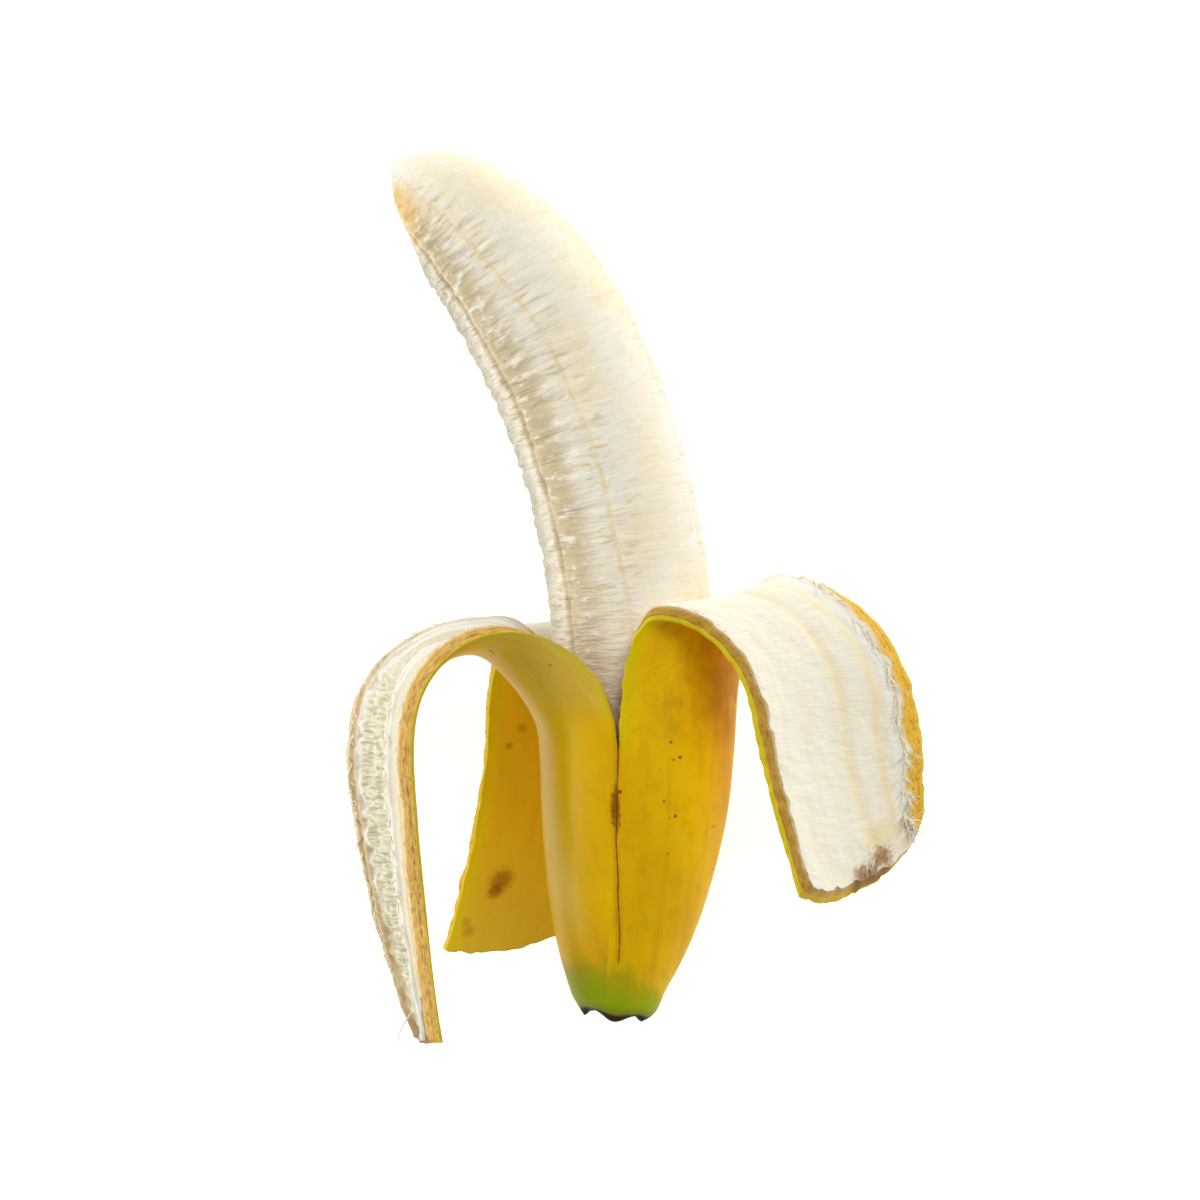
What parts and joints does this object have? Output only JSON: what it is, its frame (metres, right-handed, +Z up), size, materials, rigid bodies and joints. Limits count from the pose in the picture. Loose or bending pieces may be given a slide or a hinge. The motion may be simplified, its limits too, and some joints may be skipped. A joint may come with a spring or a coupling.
{
  "type": "half-peeled banana",
  "caption": "Curved banana, half peeled: bare flesh rising from a cup of peel whose torn strips fold back, one of them flat underneath.",
  "frame": {"origin": "on the surface that the banana lies on, under the middle of its outline", "axes": "+Y from the blossom end towards the tip, +Z up from the surface, +X to the right strip"},
  "size_m": [0.1172, 0.179, 0.0521],
  "materials": {
    "banana_peel": "waxy yellow skin, green at the blossom end, with creamy matt pith on its inner side",
    "banana_flesh": "soft matt cream, finely fibrous across and grooved along"
  },
  "bodies": {
    "root": {"peel": "banana_peel", "flesh": "banana_flesh"}
  },
  "joints": []
}
